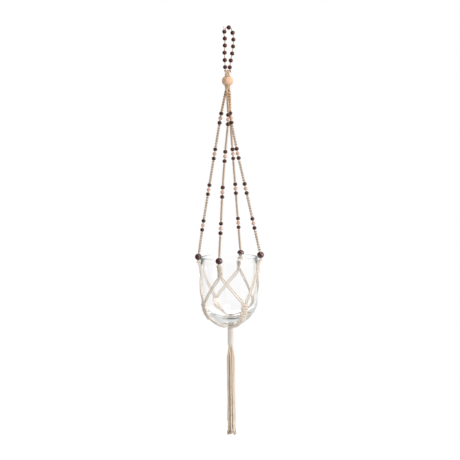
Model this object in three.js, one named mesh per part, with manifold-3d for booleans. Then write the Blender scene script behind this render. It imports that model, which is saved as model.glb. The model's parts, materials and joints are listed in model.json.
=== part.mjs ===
// Hanging macrame planter: a beaded cord loop, four knotted strands threaded with beads,
// a knotted net that cradles a round-bottomed glass vessel, a bound gather and a tassel.
// Millimetres, +Z up. The origin is the hook seat, inside the top of the hanging loop.
import * as THREE from 'three';
import { mergeVertices } from 'three/addons/utils/BufferGeometryUtils.js';
import Module from 'manifold-3d';

const wasm = await Module();
wasm.setup();

// ---------------------------------------------------------------- driving dimensions
const GAP = 0.35;                // clearance between pieces that touch
const CORD = 4;                  // macrame cord diameter

const LOOP_CORD_R = 1.2;
const LOOP_BEAD_R = 5.4;
const LOOP_BORE_R = 2.1;
const LOOP_KNOT_R = 2.5;
const LOOP_KNOT_ASIDE = 0.8;     // from the first bead's centre to the knot
const LOOP_KNOT_DROP = 8.4;
// bead centres (x, z) round the loop, from just above the knot, over the top and down again
const LOOP_BEADS = [
  [5.8, -90.4], [8.4, -73.9], [12, -57], [14.3, -39.8], [15.2, -23.3], [13.4, -6.9],
  [4.2, 6], [-6.7, -4], [-5.8, -20.5], [-5.8, -37.4], [-6.6, -54.9], [-6.3, -72.8], [-5.6, -89.8],
];

const NECK_Z = -103;             // the bundle folds over the loop cord here
const FOLD_R = 5.6;
const FOLD_WIDTH = 7;
const FOLD_BORE_R = 1.9;
const TONGUE_DROP = 9;           // the fold's straight sides
const SHOULDER_DROP = 5;         // where the fold meets the round bundle
const SHOULDER_CUT = 3.5;
const BUNDLE_R = 7.6;            // all sixteen cords side by side
const CROWN_Z = -123.5;
const CROWN_R = 14;
const CROWN_HALF_HEIGHT = 9.8;
const CROWN_BORE_R = 8.1;
const NECK_BOTTOM_Z = -135;
const GATHER_BALL_Z = -141.5;    // the strands swing about this ball

const STRAND_R = 3.3;            // knotted lengths
const STRAND_CORE_R = 1.7;       // cords that run through the beads
const SMALL_BEAD_R = 5.25;
const SMALL_BORE_R = 2.25;
const TRIO_PITCH = 11.6;
const RIM_BEAD_R = 8.75;
const RIM_BORE_R = 2.4;
const BEAD_CLEAR = 0.4;          // between a bead's end and the knots next to it
const STRAND_TOP_R = 5.5;
const STRAND_TOP_Z = -149.9;
const RIM_RING_R = 82.7;         // rim beads' distance from the axis
// Each arm leaves the axis in its own direction. Its beads are tied by hand, so every trio has its
// own height, distance out and shift aside. rim and bandEnd are heights too.
const ARMS = [
  {
    name: 'front', deg: -107, rim: -560.4, bandEnd: -602,
    trios: [[-219, 16.9, 5.7], [-309, 34.8, 2.4], [-395.7, 51.4, 0.4], [-482.7, 67.8, 0.4]],
  },
  {
    name: 'right', deg: -20.2, rim: -551.5, bandEnd: -596,
    trios: [[-214, 8.1, 0], [-301.5, 24.9, 0], [-388, 45.2, 0], [-474, 64.8, 0]],
  },
  {
    name: 'back', deg: 68.8, rim: -557.3, bandEnd: -600,
    trios: [[-214, 16.2, 0], [-302, 32.6, 0], [-390, 49.6, 0], [-478, 66.9, 0]],
  },
  {
    name: 'left', deg: 160.4, rim: -561.2, bandEnd: -602,
    trios: [[-214, 19.6, 0], [-302, 36.2, 0], [-391, 52.8, 0], [-481, 69.4, 0]],
  },
];
const LOWER_TOP_Z = -667.5;
const LOWER_END_HEIGHT = 24;     // above the glass foot

const GLASS_BASE_Z = -730.5;
const GLASS_HEIGHT = 172;
const GLASS_RIM_R = 71.5;
const GLASS_BELLY_R = 70;        // where the wall meets the rounded bottom
const GLASS_BELLY_HEIGHT = 60;
const GLASS_BOWL_DEPTH = 64;     // the rounded bottom would close this far below the belly
const GLASS_FOOT_R = 20.5;
const GLASS_WALL = 3.4;
const GLASS_FLOOR = 12;
const GLASS_POWER = 1.8;         // 2 would be an ellipse, less is more pointed
const GLASS_LIP_CUT = 1.2;
const GLASS_INSIDE_STEP = 3;     // the floor's corner is cut this far in and up
const WALL_HEIGHT = 110;         // one more ring on the wall

const BAND_WIDTH = 14.6;
const BAND_DEPTH = 8;
const LOWER_BAND_WIDTH = 20.4;
const PAIR_WIDTH = 2 * CORD + 0.3;
const RUN_WIDTH = 4 * CORD;
const ON_GLASS = 0.3;            // extra clearance of a cord that lies on the curved glass
const WRAP_R = 8;
const WRAP_BOTTOM_Z = -784.7;
const TASSEL_R = 10.2;
const TASSEL_END_R = 13.2;
const TASSEL_END_Z = -1014;

const COLOURS = {
  cord: 0xe3d3bb, darkBead: 0x4a2418, trio: 0x7a4a30, crown: 0xcf9f6c, rimBead: 0x3c1210, glass: 0xdfe8e4,
};

// ---------------------------------------------------------------- small helpers
const degrees = (value) => THREE.MathUtils.degToRad(value);
const group = new THREE.Group();
group.name = 'hanging_macrame_planter';

const material = (colour, roughness) => (
  new THREE.MeshStandardMaterial({ color: colour, roughness, metalness: 0 })
);
const MATERIALS = {
  cord: material(COLOURS.cord, 0.95),
  darkBead: material(COLOURS.darkBead, 0.4),
  trio: material(COLOURS.trio, 0.5),
  crown: material(COLOURS.crown, 0.45),
  rimBead: material(COLOURS.rimBead, 0.15),
  glass: new THREE.MeshStandardMaterial({
    color: COLOURS.glass, roughness: 0.05, metalness: 0, transparent: true, opacity: 0.35,
  }),
};

function named(name, geometry, mat) {
  const mesh = new THREE.Mesh(geometry, mat);
  mesh.name = name;
  return mesh;
}

function add(name, geometry, mat) {
  const mesh = named(name, geometry, mat);
  group.add(mesh);
  return mesh;
}

// a solid of revolution about Z from a closed outline of [r, z] points
function turned(outline, segments) {
  const points = outline.map(([r, z]) => new THREE.Vector2(r, z));
  return new THREE.LatheGeometry(points, segments).rotateX(Math.PI / 2);
}

// a bored bead about Z, from the [r, z] points of its lower half's outside
function bead(lowerHalf, boreRadius, segments) {
  const upper = lowerHalf.filter(([, z]) => z < 0).map(([r, z]) => [r, -z]).reverse();
  const outside = [...lowerHalf, ...upper];
  const ends = Math.abs(lowerHalf[0][1]);
  const outline = [[boreRadius, -ends], ...outside, [boreRadius, ends], [boreRadius, -ends]];
  return turned(outline, segments);
}

// outside of a ball's lower half between its bore and its middle, as [r, z]
function ballHalf(radius, firstLatitude, steps) {
  const latitudes = Array.from({ length: steps }, (_, i) => -firstLatitude * (1 - i / (steps - 0.5)));
  return latitudes.map((deg) => [radius * Math.cos(degrees(deg)), radius * Math.sin(degrees(deg))]);
}

// a quarter of a circle from its side to its top, as [r, z]
function quarterCircle(radius) {
  const angles = [0, 22.5, 45, 67.5].map(degrees);
  return [...angles.map((angle) => [radius * Math.cos(angle), radius * Math.sin(angle)]), [0, radius]];
}

function circle(radius, sides) {
  const turn = (i) => (2 * Math.PI * i) / sides;
  return new THREE.Shape(Array.from({ length: sides }, (_, i) => (
    new THREE.Vector2(radius * Math.cos(turn(i)), radius * Math.sin(turn(i)))
  )));
}

// a flat band's section with its four corners cut off
function bandSection(width, depth) {
  const [x, y, cut] = [width / 2, depth / 2, depth * 0.3];
  return new THREE.Shape([
    [x, -y + cut], [x, y - cut], [x - cut, y], [-x + cut, y],
    [-x, y - cut], [-x, -y + cut], [-x + cut, -y], [x - cut, -y],
  ].map(([u, v]) => new THREE.Vector2(u, v)));
}

// a route whose section keeps its flat side towards the axis
class HeldCurve extends THREE.CatmullRomCurve3 {
  constructor(points, side) {
    super(points, false, 'centripetal');
    this.side = side;
  }

  computeFrenetFrames(segments) {
    const frames = { tangents: [], normals: [], binormals: [] };
    for (let i = 0; i <= segments; i += 1) {
      const tangent = this.getTangentAt(i / segments);
      const normal = this.side(this.getPointAt(i / segments), tangent).normalize();
      frames.tangents.push(tangent);
      frames.normals.push(normal);
      frames.binormals.push(new THREE.Vector3().crossVectors(tangent, normal));
    }
    return frames;
  }
}

function sweep(section, route, steps) {
  return new THREE.ExtrudeGeometry(section, { steps, extrudePath: route, bevelEnabled: false });
}

function toSolid(geometry) {
  const bare = geometry.clone();
  bare.deleteAttribute('normal');
  bare.deleteAttribute('uv');
  const merged = mergeVertices(bare, 1e-4);
  return new wasm.Manifold(new wasm.Mesh({
    numProp: 3,
    vertProperties: new Float32Array(merged.attributes.position.array),
    triVerts: new Uint32Array(merged.index.array),
  }));
}

function toGeometry(solid) {
  const mesh = solid.getMesh();
  const geometry = new THREE.BufferGeometry();
  geometry.setAttribute('position', new THREE.BufferAttribute(new Float32Array(mesh.vertProperties), 3));
  geometry.setIndex(new THREE.BufferAttribute(new Uint32Array(mesh.triVerts), 1));
  geometry.computeVertexNormals();
  return geometry;
}

// places a piece made about +Z at a point, with its +Z along a direction
function aim(mesh, at, along) {
  mesh.position.copy(at);
  mesh.quaternion.setFromUnitVectors(new THREE.Vector3(0, 0, 1), along.clone().normalize());
}

// ---------------------------------------------------------------- hanging loop
function loopBeadPlaces() {
  const centres = LOOP_BEADS.map(([x, z]) => new THREE.Vector3(x, 0, z));
  const last = centres.length - 1;
  return centres.map((centre, i) => {
    const before = centres[Math.max(i - 1, 0)];
    const after = centres[Math.min(i + 1, last)];
    return { centre, along: after.clone().sub(before).normalize() };
  });
}

function hangingLoop() {
  const places = loopBeadPlaces();
  const [firstX, firstZ] = LOOP_BEADS[0];
  const knot = new THREE.Vector3(firstX + LOOP_KNOT_ASIDE, 0, firstZ - LOOP_KNOT_DROP);
  const legX = FOLD_WIDTH / 2 + GAP + 1.5 * LOOP_CORD_R;
  const route = [knot];
  places.forEach(({ centre, along }) => {
    [-1, 0, 1].forEach((k) => route.push(centre.clone().addScaledVector(along, k * LOOP_BEAD_R)));
  });
  route.push(new THREE.Vector3(-legX, 0, NECK_Z + 3.2));
  route.push(new THREE.Vector3(-FOLD_WIDTH / 2, 0, NECK_Z + 0.1));
  route.push(new THREE.Vector3(0, 0, NECK_Z));
  route.push(new THREE.Vector3(FOLD_WIDTH / 2, 0, NECK_Z + 0.1));
  route.push(new THREE.Vector3(legX, 0, NECK_Z + 2.6));
  const curve = new HeldCurve(route, () => new THREE.Vector3(0, 1, 0));
  const cord = toSolid(sweep(circle(LOOP_CORD_R, 8), curve, 84));
  const ball = new THREE.SphereGeometry(LOOP_KNOT_R, 10, 8).translate(knot.x, 0, knot.z);
  add('hanging_loop_cord', toGeometry(cord.add(toSolid(ball))), MATERIALS.cord);

  const shape = bead(ballHalf(LOOP_BEAD_R, 60, 3), LOOP_BORE_R, 10);
  places.forEach(({ centre, along }, i) => {
    const mesh = add(`loop_bead_${String(i + 1).padStart(2, '0')}`, shape, MATERIALS.darkBead);
    aim(mesh, centre, along);
  });
}

// ---------------------------------------------------------------- neck and crown bead
function neck() {
  const acrossX = (radius, length) => (
    new THREE.CylinderGeometry(radius, radius, length, 16).rotateZ(Math.PI / 2).translate(0, 0, NECK_Z)
  );
  const tongue = new THREE.BoxGeometry(FOLD_WIDTH, 1.7 * FOLD_R, TONGUE_DROP)
    .translate(0, 0, NECK_Z - TONGUE_DROP / 2);
  const shoulder = NECK_Z - SHOULDER_DROP;
  const bundle = turned([
    [0, NECK_BOTTOM_Z], [BUNDLE_R, NECK_BOTTOM_Z], [BUNDLE_R, shoulder - SHOULDER_CUT],
    [BUNDLE_R - SHOULDER_CUT, shoulder], [0, shoulder],
  ], 16);
  const solid = toSolid(acrossX(FOLD_R, FOLD_WIDTH)).add(toSolid(tongue)).add(toSolid(bundle));
  const bored = solid.subtract(toSolid(acrossX(FOLD_BORE_R, 3 * FOLD_WIDTH)));
  add('neck_cords', toGeometry(bored), MATERIALS.cord);

  const half = CROWN_HALF_HEIGHT;
  const crownHalf = [
    [CROWN_BORE_R + 0.6, -half], [CROWN_R - 3.2, -0.86 * half], [CROWN_R - 0.9, -0.5 * half],
    [CROWN_R, -0.12 * half],
  ];
  add('crown_bead', bead(crownHalf, CROWN_BORE_R, 20), MATERIALS.crown).position.z = CROWN_Z;

  const ball = quarterCircle(BUNDLE_R).reverse().map(([r, z]) => [r, GATHER_BALL_Z - z]);
  const top = NECK_BOTTOM_Z - GAP;
  add('strand_gather', turned([...ball, [BUNDLE_R, top], [0, top]], 16), MATERIALS.cord);
}

// ---------------------------------------------------------------- strands and their beads
const radial = (r, z) => new THREE.Vector3(r, 0, z);
const across = () => new THREE.Vector3(0, -1, 0);
const TRIO_SHAPE = trioShape();
const RIM_SHAPE = bead(ballHalf(RIM_BEAD_R, 68, 4), RIM_BORE_R, 14);

function trioShape() {
  const half = ballHalf(SMALL_BEAD_R, 58, 2);
  const whole = [...half, ...half.map(([r, z]) => [r, -z]).reverse()];
  const outside = [-1, 0, 1].flatMap((k) => whole.map(([r, z]) => [r, z + k * TRIO_PITCH]));
  const ends = outside[0][1];
  return turned([[SMALL_BORE_R, ends], ...outside, [SMALL_BORE_R, -ends], [SMALL_BORE_R, ends]], 8);
}

// What a strand passes, from the top: its own head, four trios and the rim bead, in the arm's own
// plane. Each stop has its centre, the line of its bore and half its length.
function strandStops(arm) {
  const trioHalf = TRIO_PITCH + SMALL_BEAD_R * 0.9;
  const stops = [
    { centre: radial(STRAND_TOP_R, STRAND_TOP_Z), half: 0 },
    ...arm.trios.map(([z, out, aside]) => ({ centre: new THREE.Vector3(out, aside, z), half: trioHalf })),
    { centre: radial(RIM_RING_R, arm.rim), half: RIM_BEAD_R },
  ];
  const last = stops.length - 1;
  return stops.map(({ centre, half }, i) => {
    const up = stops[Math.max(i - 1, 0)].centre.clone().sub(stops[Math.min(i + 1, last)].centre);
    return { centre, half, up: up.normalize() };
  });
}

// the point at one end of a stop: 1 is above it and -1 below it
const besideStop = ({ centre, half, up }, end) => (
  centre.clone().addScaledVector(up, end * (half ? half + BEAD_CLEAR : 0))
);

function strand(arm, stops) {
  const route = stops.flatMap((stop) => (
    stop.half ? [besideStop(stop, 1), stop.centre, besideStop(stop, -1)] : [stop.centre]
  ));
  const core = toSolid(sweep(circle(STRAND_CORE_R, 6), new HeldCurve(route, across), 30));
  const knotted = stops.slice(1).map((stop, i) => {
    const line = new THREE.LineCurve3(besideStop(stops[i], -1), besideStop(stop, 1));
    return toSolid(sweep(circle(STRAND_R, 8), line, 1));
  });
  const solid = knotted.reduce((whole, length) => whole.add(length), core);
  return named(`strand_${arm.name}`, toGeometry(solid), MATERIALS.cord);
}

function threadedBeads(arm, stops) {
  return stops.slice(1).map(({ centre, up }, i) => {
    const isRim = i === arm.trios.length;
    const mesh = isRim
      ? named(`rim_bead_${arm.name}`, RIM_SHAPE, MATERIALS.rimBead)
      : named(`bead_trio_${arm.name}_${i + 1}`, TRIO_SHAPE, MATERIALS.trio);
    aim(mesh, centre, up);
    return mesh;
  });
}

// one arm's strand, beads and knotted band, made in the XZ plane and turned to its direction
function addArm(arm) {
  const stops = strandStops(arm);
  const holder = new THREE.Group();
  holder.add(strand(arm, stops), ...threadedBeads(arm, stops), upperBand(arm));
  holder.rotation.z = degrees(arm.deg);
  group.add(holder);
}

// ---------------------------------------------------------------- glass vessel
// outside radius of the glass at a height above its foot
function glassRadius(height) {
  if (height >= GLASS_BELLY_HEIGHT) {
    const share = (height - GLASS_BELLY_HEIGHT) / (GLASS_HEIGHT - GLASS_BELLY_HEIGHT);
    return THREE.MathUtils.lerp(GLASS_BELLY_R, GLASS_RIM_R, share);
  }
  const drop = (GLASS_BELLY_HEIGHT - height) / GLASS_BOWL_DEPTH;
  return GLASS_BELLY_R * (1 - drop ** GLASS_POWER) ** (1 / GLASS_POWER);
}

function glassVessel() {
  const outerHeights = [2, 6, 12, 20, 30, 44, GLASS_BELLY_HEIGHT, WALL_HEIGHT];
  const innerHeights = [GLASS_BELLY_HEIGHT, 46, 32, 22];
  const inside = (height) => {
    const depth = GLASS_BELLY_HEIGHT - GLASS_FLOOR;
    const drop = Math.min((GLASS_BELLY_HEIGHT - height) / depth, 1);
    return (GLASS_BELLY_R - GLASS_WALL) * (1 - drop ** GLASS_POWER) ** (1 / GLASS_POWER);
  };
  const corner = GLASS_FLOOR + GLASS_INSIDE_STEP;
  const innerRim = GLASS_RIM_R - GLASS_WALL;
  const outline = [
    [0, 0], [GLASS_FOOT_R, 0],
    ...outerHeights.map((h) => [glassRadius(h), h]),
    [GLASS_RIM_R, GLASS_HEIGHT - GLASS_LIP_CUT], [GLASS_RIM_R - GLASS_LIP_CUT, GLASS_HEIGHT],
    [innerRim + GLASS_LIP_CUT, GLASS_HEIGHT], [innerRim, GLASS_HEIGHT - GLASS_LIP_CUT],
    [glassRadius(WALL_HEIGHT) - GLASS_WALL, WALL_HEIGHT],
    ...innerHeights.map((h) => [inside(h), h]),
    [inside(corner), corner], [inside(corner) - GLASS_INSIDE_STEP, GLASS_FLOOR], [0, GLASS_FLOOR],
  ];
  add('glass_vessel', turned(outline, 32), MATERIALS.glass).position.z = GLASS_BASE_Z;
}

// ---------------------------------------------------------------- net
const glassRadiusAt = (z) => glassRadius(z - GLASS_BASE_Z);

// a point in the radial plane, a distance off the outside of the glass
function offGlass(height, distance) {
  const step = 0.5;
  const slope = new THREE.Vector2(glassRadius(height + step) - glassRadius(height - step), 2 * step);
  slope.normalize();
  return radial(glassRadius(height) + slope.y * distance, GLASS_BASE_Z + height - slope.x * distance);
}

function upperBand(arm) {
  const start = arm.rim - RIM_BEAD_R - 1.7;
  const r = GLASS_RIM_R + GAP + BAND_DEPTH / 2;
  const route = new HeldCurve([
    radial(RIM_RING_R + 0.6, start), radial(RIM_RING_R, start - 2.5), radial(r + 2.2, start - 9),
    radial(r, start - 16), radial(r, arm.bandEnd),
  ], across);
  const band = sweep(bandSection(BAND_WIDTH, BAND_DEPTH), route, 7);
  return named(`upper_knot_band_${arm.name}`, band, MATERIALS.cord);
}

// two cords side by side, from an arm's band down round the glass to a lower band
function netPair(name, fromAngle, bandEnd, toAngle) {
  const way = Math.sign(toAngle - fromAngle);
  const straight = 6;
  const startZ = bandEnd - 2 * GAP;
  const endZ = LOWER_TOP_Z + 4 * GAP;
  const at = (angle, z) => {
    const r = glassRadiusAt(z) + GAP + ON_GLASS + CORD / 2;
    return new THREE.Vector3(r * Math.cos(angle), r * Math.sin(angle), z);
  };
  const aside = (z) => (way * (PAIR_WIDTH / 2 + 0.25)) / glassRadiusAt(z);
  const first = fromAngle + aside(startZ);
  const last = toAngle - aside(endZ);
  const lean = way * 0.02;
  const middle = [0.2, 0.4, 0.6, 0.8].map((share) => at(
    THREE.MathUtils.lerp(first, last, share),
    THREE.MathUtils.lerp(startZ - straight * 0.6, endZ + straight * 0.6, share),
  ));
  const points = [
    at(first, startZ), at(first + lean, startZ - straight), ...middle,
    at(last - lean, endZ + straight), at(last, endZ),
  ];
  const facing = (point, tangent) => (
    new THREE.Vector3().crossVectors(new THREE.Vector3(point.x, point.y, 0), tangent)
  );
  add(name, sweep(bandSection(PAIR_WIDTH, CORD), new HeldCurve(points, facing), 9), MATERIALS.cord);
}

// a lower band and the four cords that run on under the foot to the axis
function lowerBand(name, turn) {
  const topHeight = LOWER_TOP_Z - GLASS_BASE_Z;
  const off = GAP + ON_GLASS + BAND_DEPTH / 2;
  const band = new HeldCurve([
    offGlass(topHeight, off), offGlass(48, off), offGlass(35, off), offGlass(LOWER_END_HEIGHT, off),
  ], across);
  const runOff = GAP + ON_GLASS + CORD / 2;
  const under = GLASS_BASE_Z - GAP - CORD / 2;
  const run = new HeldCurve([
    offGlass(LOWER_END_HEIGHT + 2, runOff + 1), offGlass(17, runOff), offGlass(10, runOff),
    offGlass(5, runOff), radial(GLASS_FOOT_R + 1, under + 0.1), radial(12, under), radial(0.4, under),
  ], across);
  const wedge = new THREE.ExtrudeGeometry(
    new THREE.Shape([[0.3, 0], [120, -108], [120, 108]].map(([x, y]) => new THREE.Vector2(x, y))),
    { depth: 120, bevelEnabled: false },
  ).translate(0, 0, GLASS_BASE_Z - 20);
  const solid = toSolid(sweep(bandSection(LOWER_BAND_WIDTH, BAND_DEPTH), band, 6))
    .add(toSolid(sweep(bandSection(RUN_WIDTH, CORD), run, 10)))
    .intersect(toSolid(wedge));
  add(name, toGeometry(solid), MATERIALS.cord).rotation.z = turn;
}

function net() {
  ARMS.forEach((arm, k) => {
    const next = ARMS[(k + 1) % ARMS.length];
    const angle = degrees(arm.deg);
    const nextAngle = degrees(next.deg + (next === ARMS[0] ? 360 : 0));
    const between = (angle + nextAngle) / 2;
    netPair(`net_pair_${arm.name}_to_${next.name}`, angle, arm.bandEnd, between);
    netPair(`net_pair_${next.name}_to_${arm.name}`, nextAngle, next.bandEnd, between);
    lowerBand(`lower_knot_band_${arm.name}_${next.name}`, between);
  });
}

// ---------------------------------------------------------------- gathering wrap and tassel
// a turned piece under a round top, from the [r, z] points below it
function domed(radius, topZ, below, segments) {
  const dome = quarterCircle(radius).map(([r, z]) => [r, topZ - radius + z]);
  return turned([...below, ...dome], segments);
}

function wrapAndTassel() {
  const wrapTop = GLASS_BASE_Z - 2 * GAP - CORD;
  add('gathering_wrap', domed(WRAP_R, wrapTop, [
    [0, WRAP_BOTTOM_Z], [WRAP_R, WRAP_BOTTOM_Z],
  ], 16), MATERIALS.cord);
  const top = WRAP_BOTTOM_Z - GAP;
  add('tassel', domed(WRAP_R + 0.2, top, [
    [0, TASSEL_END_Z], [TASSEL_END_R, TASSEL_END_Z], [TASSEL_END_R - 2.3, TASSEL_END_Z + 34],
    [TASSEL_R, TASSEL_END_Z + 80], [TASSEL_R, top - 30], [TASSEL_R + 0.3, top - 18],
  ], 16), MATERIALS.cord);
}

hangingLoop();
neck();
ARMS.forEach(addArm);
glassVessel();
net();
wrapAndTassel();

export default group;
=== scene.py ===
"""The looks of a hanging macrame planter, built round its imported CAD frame.

Everything is in metres in the frame's own axes: +Z up, the origin at the seat of the hanging loop.
A cord is a tube of twisted plies swept along its route, and the routes start from the frame's joints
and boxes. A seed shifts a piece's grain, so that no two pieces look the same.
"""
import json
import math
import random

import bpy
import numpy as np
from mathutils import Matrix, Vector


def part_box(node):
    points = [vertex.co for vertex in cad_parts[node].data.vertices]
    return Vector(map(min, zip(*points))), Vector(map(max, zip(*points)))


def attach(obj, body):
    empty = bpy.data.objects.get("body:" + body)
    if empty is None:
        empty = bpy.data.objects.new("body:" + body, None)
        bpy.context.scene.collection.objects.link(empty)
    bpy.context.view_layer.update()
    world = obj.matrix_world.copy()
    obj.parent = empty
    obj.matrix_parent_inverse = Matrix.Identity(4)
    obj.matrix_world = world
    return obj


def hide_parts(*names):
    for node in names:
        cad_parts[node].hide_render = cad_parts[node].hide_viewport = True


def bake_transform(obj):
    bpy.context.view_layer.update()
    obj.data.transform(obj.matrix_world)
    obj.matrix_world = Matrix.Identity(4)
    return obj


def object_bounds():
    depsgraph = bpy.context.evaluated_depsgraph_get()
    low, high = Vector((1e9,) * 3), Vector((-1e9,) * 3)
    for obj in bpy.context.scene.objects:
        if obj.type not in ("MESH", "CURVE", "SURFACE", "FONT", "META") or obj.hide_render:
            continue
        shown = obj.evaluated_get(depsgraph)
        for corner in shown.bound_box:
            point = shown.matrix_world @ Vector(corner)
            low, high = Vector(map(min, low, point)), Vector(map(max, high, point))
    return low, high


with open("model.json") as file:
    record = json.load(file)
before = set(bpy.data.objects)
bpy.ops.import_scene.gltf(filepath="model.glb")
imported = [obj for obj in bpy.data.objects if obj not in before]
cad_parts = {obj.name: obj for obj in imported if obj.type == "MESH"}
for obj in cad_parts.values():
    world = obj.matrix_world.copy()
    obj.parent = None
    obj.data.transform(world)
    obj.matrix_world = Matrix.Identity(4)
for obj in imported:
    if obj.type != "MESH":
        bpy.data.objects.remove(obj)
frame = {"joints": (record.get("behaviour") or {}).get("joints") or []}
cad_box = [list(corner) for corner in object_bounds()]

MM = 0.001
TAU = 2 * math.pi
UP = np.array([0.0, 0.0, 1.0])
ARM_NAMES = ["front", "right", "back", "left"]
JOINTS = {joint["name"]: joint for joint in frame["joints"]}

CORD_R = 2.0 * MM               # the net's and the tassel's cord
CORD_LAY = 11 * MM              # length of one turn of its plies
STRAND_LAY = 9 * MM             # the same in the thinner cords of the neck and strands
BRAID_CORD_R = 1.25 * MM
BRAID_TURN = 13 * MM            # length in which a braid cord goes once round
BRAID_R = 1.6 * MM              # a braid cord's mean distance from its strand's middle
BRAID_WAVE = 1.0 * MM           # how far it swings in and out from there
THREADED_R = 0.85 * MM          # its radius, and its distance from the middle, inside a bead
NOTCH_SHADOW = 1.2              # how deep the painted shadow on a strand is between two knots
TRIO_PITCH = 11.6 * MM          # from bead to bead in a trio
SMALL_BEAD_R = 5.25 * MM
SMALL_BEAD_BORE = 1.9 * MM      # bores are radii
TRIO_HALF = TRIO_PITCH + 0.9 * SMALL_BEAD_R  # half the length of strand that a trio takes up
BEAD_SIDES = 28
LOOP_BEADS = 13
LOOP_BEAD_R = 5.4 * MM
LOOP_BEAD_BORE = 1.7 * MM
RIM_BEAD_R = 8.75 * MM
RIM_BEAD_BORE = 2.2 * MM
CROWN_BORE = 8.2 * MM           # clears the folded cords when the bead slides up
STRAND_TOP_R = 5.5 * MM         # where a strand leaves the gathered cords
STRAND_TOP_Z = -150 * MM
BUNDLE_RING_R = 5.8 * MM        # twelve outer cords of the gathered sixteen
BUNDLE_CORE_R = 2.2 * MM        # and the four inside them
BUNDLE_CORD_R = 1.55 * MM
FOLD_Z = -103 * MM              # the cords fold over the loop cord here
SEAM_Z = -121 * MM              # inside the crown bead at both ends of its slide
PARTING_Z = -136 * MM           # the gathered cords start to part into strands here
PARTED_Z = -157 * MM            # and have parted here
ASIDE = np.array([2.4 * MM, 0, 0])  # the wrap and tassel hang this far right of the axis

GLASS_LOW, GLASS_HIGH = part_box("glass_vessel")
GLASS_BASE = GLASS_LOW.z
GLASS_HEIGHT = GLASS_HIGH.z - GLASS_LOW.z
GLASS_RIM_R = GLASS_HIGH.x
GLASS_BELLY_R = GLASS_RIM_R - 1.5 * MM
GLASS_BELLY_HEIGHT = 60 * MM
GLASS_BOWL_DEPTH = 64 * MM
GLASS_WALL = 3.4 * MM
GLASS_FLOOR = 12 * MM
GLASS_FOOT_R = 20.5 * MM
GLASS_POWER = 1.8               # of the superellipse that rounds the bowl
LOWER_TOP_HEIGHT = 63 * MM      # the lower bands' ends above the foot of the glass
LOWER_END_HEIGHT = 24 * MM
BAND_OFF = 4.3 * MM             # middle of a knotted band off the glass
NET_OFF = CORD_R + 0.2 * MM     # middle of a net cord off the glass
GLASS_BOUNCES = 96              # light goes round many times inside the thick glass


# ------------------------------------------------------------------ lines
def unit(v):
    """Each vector at length one."""
    return v / np.maximum(np.linalg.norm(v, axis=-1, keepdims=True), 1e-12)


def point(x, y, z):
    return np.array([x, y, z], float)


def smoothstep(low, high, x):
    """Rises smoothly from 0 at low to 1 at high. low may be the greater of the two."""
    share = np.clip((x - low) / (high - low), 0, 1)
    return share * share * (3 - 2 * share)


def lerp(a, b, share):
    return a + (b - a) * share


def smooth(points, per_span=10):
    """A Catmull-Rom curve through given points."""
    p = np.asarray(points, float)
    p = np.vstack([2 * p[0] - p[1], p, 2 * p[-1] - p[-2]])
    t = np.linspace(0, 1, per_span, endpoint=False)[:, None]
    spans = []
    for a, b, c, d in zip(p, p[1:], p[2:], p[3:]):
        linear = 2 * b + (c - a) * t
        bent = (2 * a - 5 * b + 4 * c - d) * t**2 + (3 * b - a - 3 * c + d) * t**3
        spans.append((linear + bent) / 2)
    return np.vstack([*spans, p[-2:-1]])


def arc(line):
    """The length along a line up to each of its points."""
    steps = np.linalg.norm(np.diff(line, axis=0), axis=1)
    return np.concatenate([[0], np.cumsum(steps)])


def spaced(line, step):
    """The line again, with its points about one step apart."""
    along = arc(line)
    at = np.linspace(0, along[-1], max(3, round(along[-1] / step) + 1))
    return np.stack([np.interp(at, along, line[:, k]) for k in range(3)], axis=1)


def side_vectors(line, hint):
    """Two vectors across a line at each point, carried along it without twist."""
    tangents = unit(np.gradient(line, axis=0))
    normal = np.asarray(hint, float)
    normals = []
    for tangent in tangents:
        normal = unit(normal - tangent * (normal @ tangent))
        normals.append(normal)
    normals = np.array(normals)
    return normals, np.cross(tangents, normals)


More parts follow.
